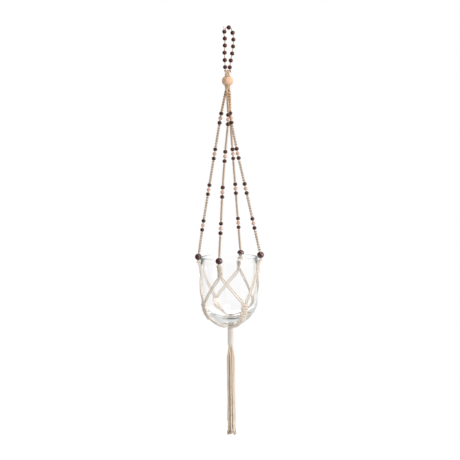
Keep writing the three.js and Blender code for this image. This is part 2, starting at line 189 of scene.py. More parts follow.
# ------------------------------------------------------------------ meshes
class Shape:
    """Gathers rings of points into one mesh, with the two attributes that the materials read:
    grain, a place in the piece's own material, and groove, from 0 on a crest to 1 between plies, by which
    the cotton paints shade."""

    def __init__(self):
        self.points, self.grain, self.groove, self.faces = [], [], [], []
        self.count = 0

    def rings(self, places, grain, groove, loop=False):
        """Skins an array of rings by sides by 3. loop joins the last ring to the first."""
        steps, sides, _ = places.shape
        spans = np.arange(steps if loop else steps - 1)[:, None]
        k = np.arange(sides)[None]
        following = (k + 1) % sides
        here = self.count + spans * sides
        after = self.count + (spans + 1) % steps * sides
        quads = np.stack([here + k, here + following, after + following, after + k], axis=-1)
        self.faces += quads.reshape(-1, 4).tolist()
        if not loop:
            last = self.count + (steps - 1) * sides
            self.faces.append([self.count + i for i in reversed(range(sides))])
            self.faces.append([last + i for i in range(sides)])
        self.points.append(places.reshape(-1, 3))
        self.grain.append(grain.reshape(-1, 3))
        self.groove.append(groove.reshape(-1))
        self.count += steps * sides

    def cord(self, line, radius, lay=CORD_LAY, hint=(0.3, 1, 0.2), sides=12, plies=3, depth=0.72,
             phase=0.0, seed=0, shadow=0.0):
        """A cord of twisted plies along a line, with a shallow groove of the given depth between
        them. radius and shadow are one number, or one for each point; shadow darkens a stretch as
        if it lay in a groove."""
        turn = np.arange(sides) * TAU / sides
        off = (turn + math.pi / plies) % (TAU / plies) - math.pi / plies
        outline = 1 - depth * (1 - np.cos(off))
        normals, binormals = side_vectors(line, hint)
        along = arc(line)
        angle = turn[None] + (along * TAU / lay + phase)[:, None]
        reach = np.broadcast_to(radius, len(line))[:, None] * outline[None]
        out = (np.cos(angle)[..., None] * normals[:, None]
               + np.sin(angle)[..., None] * binormals[:, None])
        # the grain follows the plies: it is read as if the cord were straight and untwisted
        straight = [reach * np.cos(turn), reach * np.sin(turn), np.broadcast_to(along[:, None], reach.shape)]
        grain = np.stack(straight, axis=-1) + seed * point(0.11, 0.07, 0.23)
        # painted shade: groove darkens the colour between the plies
        groove = np.broadcast_to((1 - np.cos(off)) / (1 - math.cos(math.pi / plies)), reach.shape)
        # shadow adds painted shadow to the groove value
        groove = np.maximum(groove, np.broadcast_to(shadow, len(line))[:, None])
        self.rings(line[:, None] + reach[..., None] * out, grain, groove)

    def lathe(self, outline, segments, at, along, seed=0):
        """A closed outline of [r, z] turned about an axis through a point."""
        outline = np.asarray(outline, float)[::-1]
        along = unit(np.asarray(along, float))
        x = unit(np.cross(along, point(0.2, 1, 0.1)))
        y = np.cross(along, x)
        turn = np.arange(segments) * TAU / segments
        r, z = outline[:, 0], outline[:, 1]
        local = np.stack([
            np.outer(np.cos(turn), r), np.outer(np.sin(turn), r), np.tile(z, (segments, 1)),
        ], axis=-1)
        places = at + local[..., :1] * x + local[..., 1:2] * y + local[..., 2:] * along
        grain = local + seed * point(0.13, 0.09, 0.17)
        self.rings(places, grain, np.zeros(places.shape[:2]), loop=True)

    def make(self, name, material, slot, body=None, nodes=()):
        mesh = bpy.data.meshes.new(name)
        mesh.from_pydata(np.vstack(self.points).tolist(), [], self.faces)
        mesh.attributes.new("grain", "FLOAT_VECTOR", "POINT").data.foreach_set(
            "vector", np.vstack(self.grain).astype(np.float32).ravel())
        mesh.attributes.new("groove", "FLOAT", "POINT").data.foreach_set(
            "value", np.concatenate(self.groove).astype(np.float32))
        mesh.polygons.foreach_set("use_smooth", [True] * len(mesh.polygons))
        mesh.materials.append(material)
        mesh.update()
        made = bpy.data.objects.new(name, mesh)
        bpy.context.scene.collection.objects.link(made)
        if body:
            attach(made, body)
        if nodes:
            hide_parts(*nodes)
        return made


# ------------------------------------------------------------------ materials
def srgb(r, g, b):
    """A linear colour from its 0 to 255 display values."""
    def linear(value):
        share = value / 255
        return share / 12.92 if share <= 0.04045 else ((share + 0.055) / 1.055) ** 2.4
    return (linear(r), linear(g), linear(b), 1)


class Nodes:
    """Short ways to add nodes to a shader tree."""

    def __init__(self, tree):
        self.tree = tree

    def node(self, kind, inputs=(), **settings):
        made = self.tree.nodes.new("ShaderNode" + kind)
        for key, value in settings.items():
            setattr(made, key, value)
        for key, value in dict(inputs).items():
            self.put(made.inputs[key], value)
        return made

    def put(self, socket, value):
        if isinstance(value, bpy.types.NodeSocket):
            self.tree.links.new(value, socket)
        else:
            socket.default_value = value

    def ramp(self, fac, stops):
        made = self.node("ValToRGB", {"Fac": fac})
        elements = made.color_ramp.elements
        while len(elements) < len(stops):
            elements.new(0.5)
        for element, (place, colour) in zip(elements, stops):
            element.position = place
            element.color = colour
        return made.outputs["Color"]

    def math(self, operation, *values):
        return self.node("Math", dict(enumerate(values)), operation=operation).outputs[0]


class Surface(Nodes):
    """A Principled material. Noise scales are per metre."""

    def __init__(self, name):
        self.material = bpy.data.materials.new(name)
        self.material.use_nodes = True
        super().__init__(self.material.node_tree)
        self.shader = self.tree.nodes["Principled BSDF"]

    def set(self, **values):
        for key, value in values.items():
            self.put(self.shader.inputs[key.replace("_", " ")], value)

    def attribute(self, name, output):
        return self.node("Attribute", attribute_name=name).outputs[output]

    def scaled(self, vector, scale):
        return self.node("Mapping", {"Vector": vector, "Scale": scale}).outputs["Vector"]

    def noise(self, vector, scale, detail):
        inputs = {"Vector": vector, "Scale": scale, "Detail": detail, "Roughness": 0.6}
        return self.node("TexNoise", inputs).outputs["Fac"]

    def mix(self, fac, a, b):
        """A colour mix. The Mix node's colour sockets go by number."""
        made = self.node("Mix", {0: fac}, data_type="RGBA")
        self.put(made.inputs[6], a)
        self.put(made.inputs[7], b)
        return made.outputs[2]

    def bump(self, height, distance, strength):
        inputs = {"Height": height, "Distance": distance, "Strength": strength}
        return self.node("Bump", inputs).outputs["Normal"]


def cotton(name, pale, deep, shade):
    """Spun cotton: fibres along each ply, slow changes of tone, and painted shade towards the shade colour
    where groove is high.
    """
    s = Surface(name)
    grain = s.attribute("grain", "Vector")
    fibre = s.noise(s.scaled(grain, (1, 1, 0.09)), 5200, 4)
    tuft = s.noise(grain, 900, 3)
    tone = s.noise(s.scaled(grain, (1, 1, 0.35)), 120, 2)
    colour = s.ramp(tone, [(0.32, deep), (0.62, pale)])
    bright = s.ramp(fibre, [(0.3, srgb(170, 170, 170)), (0.62, srgb(255, 255, 255))])
    colour = s.mix(bright, s.mix(0.4, colour, shade), colour)
    # painted shade: the colour goes towards the shade colour as groove rises
    groove = s.math("MULTIPLY", s.math("POWER", s.attribute("groove", "Fac"), 1.6), 0.6)
    colour = s.mix(groove, colour, shade)
    height = s.math("ADD", fibre, s.math("MULTIPLY", tuft, 0.8))
    s.set(Base_Color=colour, Roughness=0.92, Normal=s.bump(height, 0.00035, 0.7))
    s.set(Sheen_Weight=0.25, Sheen_Roughness=0.45, Specular_IOR_Level=0.2)
    return s.material


def wood(name, pale, deep, vein, gloss, coat):
    """Turned, varnished wood: growth rings cut across the bead, pores along its grain."""
    s = Surface(name)
    grain = s.attribute("grain", "Vector")
    warp = s.noise(s.scaled(grain, (1, 1, 0.3)), 160, 3)
    bent = s.mix(0.06, grain, s.node("CombineXYZ", {0: warp, 1: warp, 2: warp}).outputs[0])
    rings = s.node("TexWave", {
        "Vector": s.scaled(bent, (1, 0.25, 0.12)), "Scale": 260, "Distortion": 5.5,
        "Detail": 2.0, "Detail Scale": 1.2,
    }, wave_type="BANDS").outputs["Fac"]
    pores = s.noise(s.scaled(grain, (1, 1, 0.12)), 3200, 3)
    colour = s.ramp(rings, [(0.15, deep), (0.75, pale)])
    streaks = s.ramp(warp, [(0.35, srgb(120, 120, 120)), (0.6, srgb(0, 0, 0))])
    colour = s.mix(streaks, colour, vein)
    open_pores = s.ramp(pores, [(0.36, srgb(235, 235, 235)), (0.46, srgb(0, 0, 0))])
    colour = s.mix(open_pores, colour, s.mix(0.5, colour, vein))
    rough = s.node("MapRange", {"Value": pores, "To Min": gloss + 0.12, "To Max": gloss - 0.04})
    height = s.math("ADD", s.math("MULTIPLY", rings, 0.5), pores)
    s.set(Base_Color=colour, Roughness=rough.outputs["Result"], Normal=s.bump(height, 0.00012, 0.5))
    s.set(Specular_IOR_Level=0.3, Coat_Weight=coat, Coat_Roughness=0.12)
    return s.material


def lacquer(name, pale, deep):
    """A dark dyed bead under a thick glossy coat: the grain shows faintly through the colour."""
    s = Surface(name)
    grain = s.attribute("grain", "Vector")
    figure = s.noise(s.scaled(grain, (1, 1, 0.2)), 420, 4)
    colour = s.ramp(figure, [(0.35, deep), (0.7, pale)])
    dimple = s.noise(grain, 260, 1)
    s.set(Base_Color=colour, Roughness=0.3, Normal=s.bump(figure, 0.00008, 0.35))
    s.set(Specular_IOR_Level=0.2, Coat_Weight=1.0, Coat_Roughness=0.04, Coat_IOR=1.8)
    s.set(Coat_Normal=s.bump(dimple, 0.0004, 0.25))
    return s.material


def clear_glass(name):
    """Pressed soda glass, faintly green where a ray runs along the wall."""
    s = Surface(name)
    ripple = s.noise(s.node("TexCoord").outputs["Object"], 22, 2)
    s.set(Base_Color=(1, 1, 1, 1), Roughness=0.0, IOR=1.5, Transmission_Weight=1.0)
    s.set(Normal=s.bump(ripple, 0.0006, 0.12))
    tint = s.node("VolumeAbsorption", {"Color": (0.63, 0.67, 0.65, 1), "Density": 5.0})
    s.put(s.tree.nodes["Material Output"].inputs["Volume"], tint.outputs["Volume"])
    return s.material


NATURAL = cotton("natural_cotton", srgb(243, 227, 209), srgb(224, 203, 182), srgb(108, 82, 65))
PALE = cotton("pale_cotton", srgb(251, 243, 232), srgb(239, 228, 213), srgb(146, 125, 106))
# darker, warmer cotton for the neck, the gathered cords and the strands above their first trios
DARKER_TOP = cotton("darker_top_cotton", srgb(243, 215, 184), srgb(224, 189, 153), srgb(124, 90, 64))
WRAP = cotton("wrap_cotton", srgb(255, 251, 245), srgb(250, 243, 234), srgb(186, 168, 152))
# a darker copy of the cotton for the tassel: painted shade among its hanging cords
SHADED_TASSEL = cotton("shaded_tassel_cotton", srgb(255, 241, 224), srgb(243, 222, 198), srgb(126, 98, 76))
LOOP = cotton("waxed_loop_cord", srgb(214, 180, 152), srgb(190, 150, 120), srgb(110, 72, 52))
DARK_WOOD = wood("dark_wood", srgb(92, 44, 25), srgb(52, 24, 13), srgb(28, 12, 6), 0.34, 0.25)
LOOP_WOOD = wood("loop_bead_wood", srgb(98, 42, 28), srgb(56, 22, 14), srgb(28, 10, 6), 0.32, 0.25)
PALE_WOOD = wood("pale_wood", srgb(226, 192, 174), srgb(202, 164, 145), srgb(154, 114, 93), 0.42, 0.12)
CROWN_WOOD = wood("crown_wood", srgb(238, 203, 174), srgb(218, 177, 145), srgb(164, 118, 88), 0.42, 0.15)
MAROON = lacquer("maroon_lacquer", srgb(90, 19, 14), srgb(46, 10, 8))
GLASS = clear_glass("clear_glass")


# ------------------------------------------------------------------ camera, lights and floor
def camera():
    """In front of the planter, a little above its middle and looking slightly down."""
    place = (0.0029, -2.125, -0.328)
    pitch, roll = math.radians(4.4), math.radians(0.5)
    data = bpy.data.cameras.new("camera")
    data.sensor_width = 36
    data.lens = 66.87
    made = bpy.data.objects.new("camera", data)
    bpy.context.scene.collection.objects.link(made)
    turn = Matrix.Rotation(math.radians(90) - pitch, 4, "X") @ Matrix.Rotation(-roll, 4, "Z")
    made.matrix_world = Matrix.Translation(place) @ turn
    bpy.context.scene.camera = made


def softbox(name, place, target, size, energy, colour):
    """A rectangular light that faces its target and that the camera doesn't see."""
    data = bpy.data.lights.new(name, "AREA")
    data.shape = "RECTANGLE"
    data.size, data.size_y = size
    data.energy = energy
    data.color = colour
    made = bpy.data.objects.new(name, data)
    bpy.context.scene.collection.objects.link(made)
    made.location = place
    made.rotation_mode = "QUATERNION"
    made.rotation_quaternion = (Vector(target) - Vector(place)).to_track_quat("-Z", "Y")
    made.visible_camera = False
    return made


def studio():
    """The camera sees white paper, greyer overhead, directly and through the glass. All other rays
    see a room that is bright on the right and dim on the left. Four softboxes light the planter."""
    scene = bpy.context.scene
    scene.view_settings.view_transform = "Standard"
    scene.cycles.max_bounces = GLASS_BOUNCES
    scene.cycles.glossy_bounces = GLASS_BOUNCES
    scene.cycles.transmission_bounces = GLASS_BOUNCES
    world = bpy.data.worlds.new("studio")
    scene.world = world
    world.use_nodes = True
    n = Nodes(world.node_tree)
    direction = n.node("SeparateXYZ", {0: n.node("TexCoord").outputs["Generated"]}).outputs
    overhead = [(0.45, (1, 1, 1, 1)), (0.8, (0.25, 0.26, 0.27, 1))]
    paper = n.tree.nodes["Background"]
    n.put(paper.inputs["Color"], n.ramp(direction["Z"], overhead))
    across = n.math("MULTIPLY_ADD", direction["X"], 0.5, 0.5)
    left_to_right = [
        (0, (0.14, 0.138, 0.136, 1)), (0.5, (0.4, 0.4, 0.405, 1)), (1, (0.86, 0.85, 0.86, 1)),
    ]
    room = n.node("Background", {"Color": n.ramp(across, left_to_right)})
    path = n.node("LightPath").outputs
    seen = n.math("MAXIMUM", path["Is Camera Ray"], path["Is Transmission Ray"])
    mixed = n.node("MixShader", {0: seen, 1: room.outputs[0], 2: paper.outputs[0]})
    n.put(n.tree.nodes["World Output"].inputs["Surface"], mixed.outputs[0])
    softbox("key", (1.75, -1.0, -0.15), (0, 0, -0.65), (1.1, 1.5), 33, (1, 0.97, 0.94))
    fill = softbox("fill", (-0.95, -1.0, -1.0), (0, 0, -0.72), (0.9, 0.9), 9, (1, 0.99, 0.98))
    back = softbox("back", (-1.2, 1.5, 0.0), (0, 0, -0.5), (1.5, 1.9), 26, (1, 0.99, 0.98))
    softbox("top", (0.4, -0.5, 1.3), (0, 0, -0.3), (0.8, 0.8), 9, (1, 0.98, 0.95))
    for light in (fill, back):
        # neither shows as a patch in the glass
        light.visible_glossy = False
        light.visible_transmission = False


def floor():
    """A white paper disc below the tassel. It glows like the paper behind it, but casts no light."""
    radius, below, sides = 1.6, 0.45, 96
    level = cad_box[0][2] - below
    ring = [(radius * math.cos(a), radius * math.sin(a), level) for a in np.arange(sides) * TAU / sides]
    mesh = bpy.data.meshes.new("floor")
    mesh.from_pydata(ring, [], [list(range(sides))])
    s = Surface("floor_paper")
    s.set(Base_Color=srgb(244, 244, 244), Roughness=0.9)
    s.set(Emission_Color=(1, 1, 1, 1), Emission_Strength=1.0)
    mesh.materials.append(s.material)
    made = bpy.data.objects.new("floor", mesh)
    bpy.context.scene.collection.objects.link(made)
    made.visible_diffuse = False
    made.visible_glossy = False
    made.visible_shadow = False


# ------------------------------------------------------------------ places taken from the frame
def place_of(joint):
    """A joint's place and the direction of its axis."""
    row = JOINTS[joint]
    return np.array(row["pos_m"], float), unit(np.array(row["axis"], float))


def outward(angle):
    """The level direction at an angle about the planter's axis."""
    return point(math.cos(angle), math.sin(angle), 0)


class Arm:
    """One strand. Its line runs straight from stop to stop: the gather, four trios and the rim bead."""

    def __init__(self, name, number):
        self.name, self.number = name, number
        nodes = [f"bead_trio_{name}_{i + 1}" for i in range(4)] + [f"rim_bead_{name}"]
        halves = [TRIO_HALF] * 4 + [RIM_BEAD_R]
        self.stops = [(node, *place_of(f"turn_{node}"), half) for node, half in zip(nodes, halves)]
        self.rim = self.stops[-1][1]
        self.angle = math.atan2(self.rim[1], self.rim[0])
        self.out = outward(self.angle)
        self.side = np.cross(UP, self.out)
        self.band_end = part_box(f"upper_knot_band_{name}")[0].z
        top = self.out * STRAND_TOP_R + UP * STRAND_TOP_Z
        ends = [centre + k * up * half for _, centre, up, half in self.stops for k in (1, -1)]
        above = top + (top - ends[0]) * 0.8
        below = ends[-1] + (ends[-1] - self.rim)
        self.line = np.array([above, top, *ends, below])

    def at(self, z):
        """The point of the strand's line at each height."""
        return np.stack([np.interp(-z, -self.line[:, 2], self.line[:, k]) for k in range(3)], axis=1)


ARMS = [Arm(name, number) for number, name in enumerate(ARM_NAMES)]
NEIGHBOURS = list(zip(ARMS, ARMS[1:] + ARMS[:1]))


def glass_radius(height):
    """Outside radius of the glass at a height above its foot."""
    height = np.asarray(height, float)
    wall = GLASS_BELLY_R + (GLASS_RIM_R - GLASS_BELLY_R) * (
        (height - GLASS_BELLY_HEIGHT) / (GLASS_HEIGHT - GLASS_BELLY_HEIGHT))
    drop = np.clip((GLASS_BELLY_HEIGHT - height) / GLASS_BOWL_DEPTH, 0, 1)
    bowl = GLASS_BELLY_R * (1 - drop**GLASS_POWER) ** (1 / GLASS_POWER)
    return np.where(height >= GLASS_BELLY_HEIGHT, wall, bowl)


def off_glass(height, distance):
    """[r, z] at a distance square off the outside of the glass."""
    step = 0.5 * MM
    slope = unit(np.array([float(glass_radius(height + step) - glass_radius(height - step)), 2 * step]))
    r = float(glass_radius(height)) + slope[1] * distance
    return np.array([r, GLASS_BASE + height - slope[0] * distance])


def lower_angle(name):
    """The angle at which a lower band lies: that of its box's corner farthest from the axis."""
    low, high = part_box(name)
    corners = [(x, y) for x in (low[0], high[0]) for y in (low[1], high[1])]
    x, y = max(corners, key=lambda corner: math.hypot(*corner))
    return math.atan2(y, x)


LOWER_ANGLES = {
    name: lower_angle(name)
    for name in (f"lower_knot_band_{arm.name}_{following.name}" for arm, following in NEIGHBOURS)
}


# ------------------------------------------------------------------ beads
def bead_outline(radius, half_height, bore):
    """A turned bead's closed section: a rounded outside, a small land at each end, and its bore,
    eased where it opens."""
    land = 0.5 * MM
    ease_out, ease_in = 0.12 * MM, 0.35 * MM
    last = math.acos((bore + land) / radius)
    latitudes = np.linspace(-last, last, 19)
    outside = [[radius * math.cos(a), half_height * math.sin(a)] for a in latitudes]
    end = half_height * math.sin(last)
    return [[bore, -end + ease_in], [bore + ease_out, -end], *outside,
            [bore + ease_out, end], [bore, end - ease_in]]


def one_bead(name, at, along, sizes, material, slot, node, seed):
    """A bead of the given radius, half height and bore that stands for part of a node, or for all of it."""
    shape = Shape()
    shape.lathe(bead_outline(*sizes), BEAD_SIDES, at, along, seed)
    shape.make(name, material, slot, node, [node])


def loop_beads():
    rng = random.Random(3)
    for seed in range(LOOP_BEADS):
        node = f"loop_bead_{seed + 1:02d}"
        at, along = place_of(f"turn_{node}")
        radius = LOOP_BEAD_R * rng.uniform(0.97, 1.02)
        sizes = (radius, radius * rng.uniform(0.94, 1.0), LOOP_BEAD_BORE)
        one_bead(f"{node}_turned", at, along, sizes, LOOP_WOOD, "dark_wood", node, seed)


def strand_beads(arm):
    rng = random.Random(20 + arm.number)
    *trios, (rim_node, rim, rim_up, _) = arm.stops
    for i, (node, centre, up, _) in enumerate(trios):
        for k, part in ((1, "top"), (0, "middle"), (-1, "bottom")):
            pale = k == 0
            radius = SMALL_BEAD_R * rng.uniform(0.96, 1.03) * (0.95 if pale else 1)
            sizes = (radius, radius * 0.96, SMALL_BEAD_BORE)
            material, slot = (PALE_WOOD, "pale_wood") if pale else (DARK_WOOD, "dark_wood")
            seed = 40 * arm.number + 10 * i + k
            at = centre + k * TRIO_PITCH * up
            one_bead(f"{node}_{part}", at, up, sizes, material, slot, node, seed)
    sizes = (RIM_BEAD_R, RIM_BEAD_R * 0.95, RIM_BEAD_BORE)
    one_bead(f"{rim_node}_lacquered", rim, rim_up, sizes, MAROON, "maroon_lacquer", rim_node, arm.number)


def crown_bead():
    low, high = (np.array(corner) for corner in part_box("crown_bead"))
    half = (high[2] - low[2]) / 2
    radius = (high[0] - low[0]) / 2
    latitudes = np.radians(np.linspace(-62, 62, 21))
    land = CROWN_BORE + 0.9 * MM
    outside = [
        [land + (radius - land) * math.cos(a * 1.45) ** 0.8, half * math.sin(a) / math.sin(latitudes[-1])]
        for a in latitudes
    ]
    eased = CROWN_BORE + 0.3 * MM
    outline = [[CROWN_BORE, -half + 0.8 * MM], [eased, -half + 0.1 * MM], *outside,
               [eased, half - 0.1 * MM], [CROWN_BORE, half - 0.8 * MM]]
    shape = Shape()
    shape.lathe(outline, 48, (low + high) / 2, UP, 5)
    shape.make("crown_bead_turned", CROWN_WOOD, "pale_wood", "crown_bead", ["crown_bead"])


# ------------------------------------------------------------------ hanging loop
def hanging_loop():
    """A thin cord through the loop beads and under the folded cords, tied below the first bead. A
    short end stands up beside the top bead."""
    places = [place_of(f"turn_loop_bead_{i + 1:02d}") for i in range(LOOP_BEADS)]
    knot = places[0][0] + point(0.8 * MM, 0, -8.4 * MM)
    leg = 6.6 * MM
    route = [knot + point(0, 0, 1.2 * MM)]
    for at, along in places:
        route += [at + k * 5.2 * MM * along for k in (-1, 0, 1)]
    route += [
        point(-leg, 0, FOLD_Z + 5.5 * MM), point(-leg + 0.7 * MM, 0, FOLD_Z + 1.6 * MM),
        point(-3.8 * MM, 0, FOLD_Z + 0.1 * MM), point(0, 0, FOLD_Z), point(3.8 * MM, 0, FOLD_Z + 0.1 * MM),
        point(leg - 0.6 * MM, 0, FOLD_Z + 1.6 * MM), knot - point(0, 0, 1.0 * MM),
    ]
    shape = Shape()
    shape.cord(spaced(smooth(route), 0.55 * MM), 1.1 * MM, 5 * MM, sides=9)
    t = np.linspace(0, TAU, 90)
    trefoil = np.stack([np.sin(t) + 2 * np.sin(2 * t), np.sin(3 * t), np.cos(t) - 2 * np.cos(2 * t)], axis=1)
    shape.cord(knot + trefoil * 0.6 * MM, 0.95 * MM, 4 * MM, sides=9, seed=2)
    near_top = places[7][0]
    tails = [
        [knot, knot + point(1.5, -1.2, -2.5) * MM, knot + point(2.4, -1.6, -5.5) * MM],
        [near_top + point(*offset) * MM for offset in ((-0.5, 0, 3), (-1.0, -0.3, 7.5), (-1.4, -0.5, 13))],
    ]
    for seed, tail in enumerate(tails):
        line = spaced(smooth(tail), 0.5 * MM)
        shape.cord(line, np.linspace(1.0, 0.7, len(line)) * MM, 4 * MM, sides=9, seed=4 + seed)
    shape.make("hanging_loop_twine", LOOP, "loop_cord", "hanging_loop", ["hanging_loop_cord"])


# ------------------------------------------------------------------ neck, gather and strands
def neck_bundle():
    """Eight cords folded over the loop cord: sixteen ends, twelve outside and four inside."""
    inner, outer = 2.8 * MM, 5.3 * MM
    # place along the loop cord, radius of the fold and angle of its foot in the ring, if it is in it
    folds = [(4.4 * MM, inner, 15), (1.5 * MM, inner, None), (4.0 * MM, outer, 45), (1.5 * MM, outer, 75)]
    both_ways = [(side, *fold) for side in (-1, 1) for fold in folds]
    shape = Shape()
    for seed, (side, x, fold_r, angle) in enumerate(both_ways):
        x *= side
        if angle is None:
            foot_x, foot_y = side * BUNDLE_CORD_R, BUNDLE_CORD_R
        else:
            turn = math.radians(angle)
            foot_x = side * BUNDLE_RING_R * math.cos(turn)
            foot_y = BUNDLE_RING_R * math.sin(turn)
        half = [
            point(foot_x, foot_y, SEAM_Z - 3 * MM), point(foot_x, foot_y, SEAM_Z + 8 * MM),
            point(lerp(foot_x, x, 0.5), lerp(foot_y, fold_r, 0.6), FOLD_Z - 4.5 * MM),
            point(x, fold_r, FOLD_Z),
            point(x, fold_r * 0.72, FOLD_Z + fold_r * 0.72),
        ]
        route = [p * point(1, -1, 1) for p in half] + [point(x, 0, FOLD_Z + fold_r)] + half[::-1]
        shape.cord(spaced(smooth(route), 0.8 * MM), BUNDLE_CORD_R, STRAND_LAY, hint=(1, 0.1, 0), seed=seed)
    shape.make("neck_bundle", DARKER_TOP, "natural_cord", "neck", ["neck_cords"])


def thinned(arm, line):
    """1 where a strand is knotted and 0 where its cords run through a bead."""
    keep = np.where(line[:, 2] > arm.rim[2], 1.0, 0.0)
    for _, centre, up, half in arm.stops:
        away = np.abs((line - centre) @ up)
        keep *= smoothstep(half - 0.2 * MM, half + 2.4 * MM, away)
    return keep


def strand_cord(arm, number):
    """One of an arm's four cords from the crown bead to its knotted band: line, radius and shadow."""
    bottom = arm.rim[2] - RIM_BEAD_R - 4 * MM
    z = np.arange(SEAM_Z, bottom, -0.55 * MM)
    line = arm.at(z)
    keep = thinned(arm, line)
    turn = arc(line) * TAU / BRAID_TURN
    way = 1 if number < 2 else -1
    angle = way * turn + (number % 2) * math.pi
    reach = lerp(THREADED_R, BRAID_R, keep) + way * BRAID_WAVE * keep * np.cos(2 * turn)
    face = np.cross(arm.side, unit(arm.rim))
    braid = line + (reach * np.cos(angle))[:, None] * arm.side + (reach * np.sin(angle))[:, None] * face
    spots = [(-30, BUNDLE_RING_R), (30, BUNDLE_RING_R), (0, BUNDLE_RING_R), (0, BUNDLE_CORE_R)]
    aside, ring = spots[number]
    spot = outward(arm.angle + math.radians(aside)) * ring
    bundle = np.stack([np.full(len(z), spot[0]), np.full(len(z), spot[1]), z], axis=1)
    parted = smoothstep(PARTING_Z, PARTED_Z, z)
    radius = lerp(BUNDLE_CORD_R, lerp(THREADED_R, BRAID_CORD_R, keep), parted)
    # painted shadow between the knots, which the cotton reads as groove
    shadow = NOTCH_SHADOW * keep * parted * np.sin(turn) ** 4
    return lerp(bundle, braid, parted[:, None]), radius, shadow


def strands():
    """Each strand is knotted from its own four cords. Above its first trio they are darker and
    warmer in colour."""
    gather = Shape()
    for arm in ARMS:
        above_trios, knotted = Shape(), Shape()
        first_trio = arm.stops[0][1][2]
        for number in range(4):
            line, radius, shadow = strand_cord(arm, number)
            along = arc(line)
            cuts = [0, *(int(np.argmax(line[:, 2] < z)) for z in (PARTED_Z, first_trio)), len(line)]
            for shape, first, last in zip((gather, above_trios, knotted), cuts, cuts[1:]):
                part = slice(first, last + 2)
                shape.cord(line[part], radius[part], STRAND_LAY, hint=arm.side, sides=9,
                           phase=along[first] * TAU / STRAND_LAY, seed=4 * arm.number + number,
                           shadow=shadow[part])
        name = f"strand_{arm.name}"
        above_trios.make(f"{name}_top", DARKER_TOP, "natural_cord", "cradle", [name])
        knotted.make(f"{name}_braid", NATURAL, "natural_cord", "cradle", [name])
    made = gather.make("gathered_cords", DARKER_TOP, "natural_cord", nodes=["strand_gather"])
    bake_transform(made)


# ------------------------------------------------------------------ knotted bands
def knotted_band(route, side, width, cord_r, filler_r, knot, depth, flat, top_share=0.35):
    """Square knots tied round two filler cords along a route. One working cord crosses in front of
    them to and fro, the other behind, and they hook round each other at both edges. depth is how far
    they pass before and behind, flat how level they cross, and top_share the width at the top."""
    shape = Shape()
    line = spaced(smooth(route), 0.4 * MM)
    along = arc(line)
    length = along[-1]
    tangents = unit(np.gradient(line, axis=0))
    out = unit(np.cross(tangents, side))
    if out[0] @ (line[0] * point(1, 1, 0)) < 0:
        out = -out

    def placed(x, y, s):
        """The points x to the side of the route, y out from it and s down it."""
        s = np.clip(s, 0, length)
        spots = [np.stack([np.interp(s, along, values[:, k]) for k in range(3)], axis=1)
                 for values in (line, out)]
        return spots[0] + x[:, None] * side + y[:, None] * spots[1]

    def grown(s):
        return lerp(top_share, 1, smoothstep(0, 4 * MM, s))

    turns = max(1, round(2 * length / knot)) / 2
    t = np.linspace(0, TAU * turns, int(TAU * turns / 0.13))
    s = length / (TAU * turns) * (t + flat * np.sin(2 * t))
    half = (width / 2 - cord_r) * grown(s)
    for way, hook in ((-1, 1.45), (1, 1.4)):
        x = way * half * np.cos(t)
        y = -way * depth * (1 - hook * np.cos(t) ** 2) * grown(s)
        shape.cord(placed(x, y, s), cord_r, CORD_LAY, hint=out[0], seed=3 + way)
    s = np.linspace(0, length, max(4, int(length / MM)))
    for way in (-1, 1):
        x = way * filler_r * 0.95 * grown(s)
        shape.cord(placed(x, np.zeros(len(s)), s), filler_r, CORD_LAY, hint=out[0], seed=8 + way)
    return shape


def upper_band(arm):
    start = arm.rim[2] - RIM_BEAD_R - 0.6 * MM
    r = GLASS_RIM_R + BAND_OFF
    rim_r = np.hypot(arm.rim[0], arm.rim[1])
    profile = [
        [rim_r + 1.2 * MM, start], [rim_r - 0.2 * MM, start - 4 * MM], [r + 2.4 * MM, start - 10 * MM],
        [r + 0.3 * MM, start - 17 * MM], [r, start - 24 * MM], [r, arm.band_end],
    ]
    route = [arm.out * r + UP * z for r, z in profile]
    shape = knotted_band(route, arm.side, width=15.8 * MM, cord_r=1.95 * MM, filler_r=1.7 * MM,
                         knot=11.4 * MM, depth=2.7 * MM, flat=0.26)
    name = f"upper_knot_band_{arm.name}"
    shape.make(f"{name}_knots", PALE, "natural_cord", "cradle", [name])


def lower_band(name, angle):
    out = outward(angle)
    side = np.cross(UP, out)
    heights = np.linspace(LOWER_TOP_HEIGHT, LOWER_END_HEIGHT - 1 * MM, 8)
    route = [out * r + UP * z for r, z in (off_glass(h, BAND_OFF) for h in heights)]
    shape = knotted_band(route, side, width=20.4 * MM, cord_r=2.35 * MM, filler_r=2.1 * MM,
                         knot=14 * MM, depth=2.4 * MM, flat=0.36, top_share=0.92)
    shape.make(f"{name}_knots", PALE, "natural_cord", "cradle", [name])


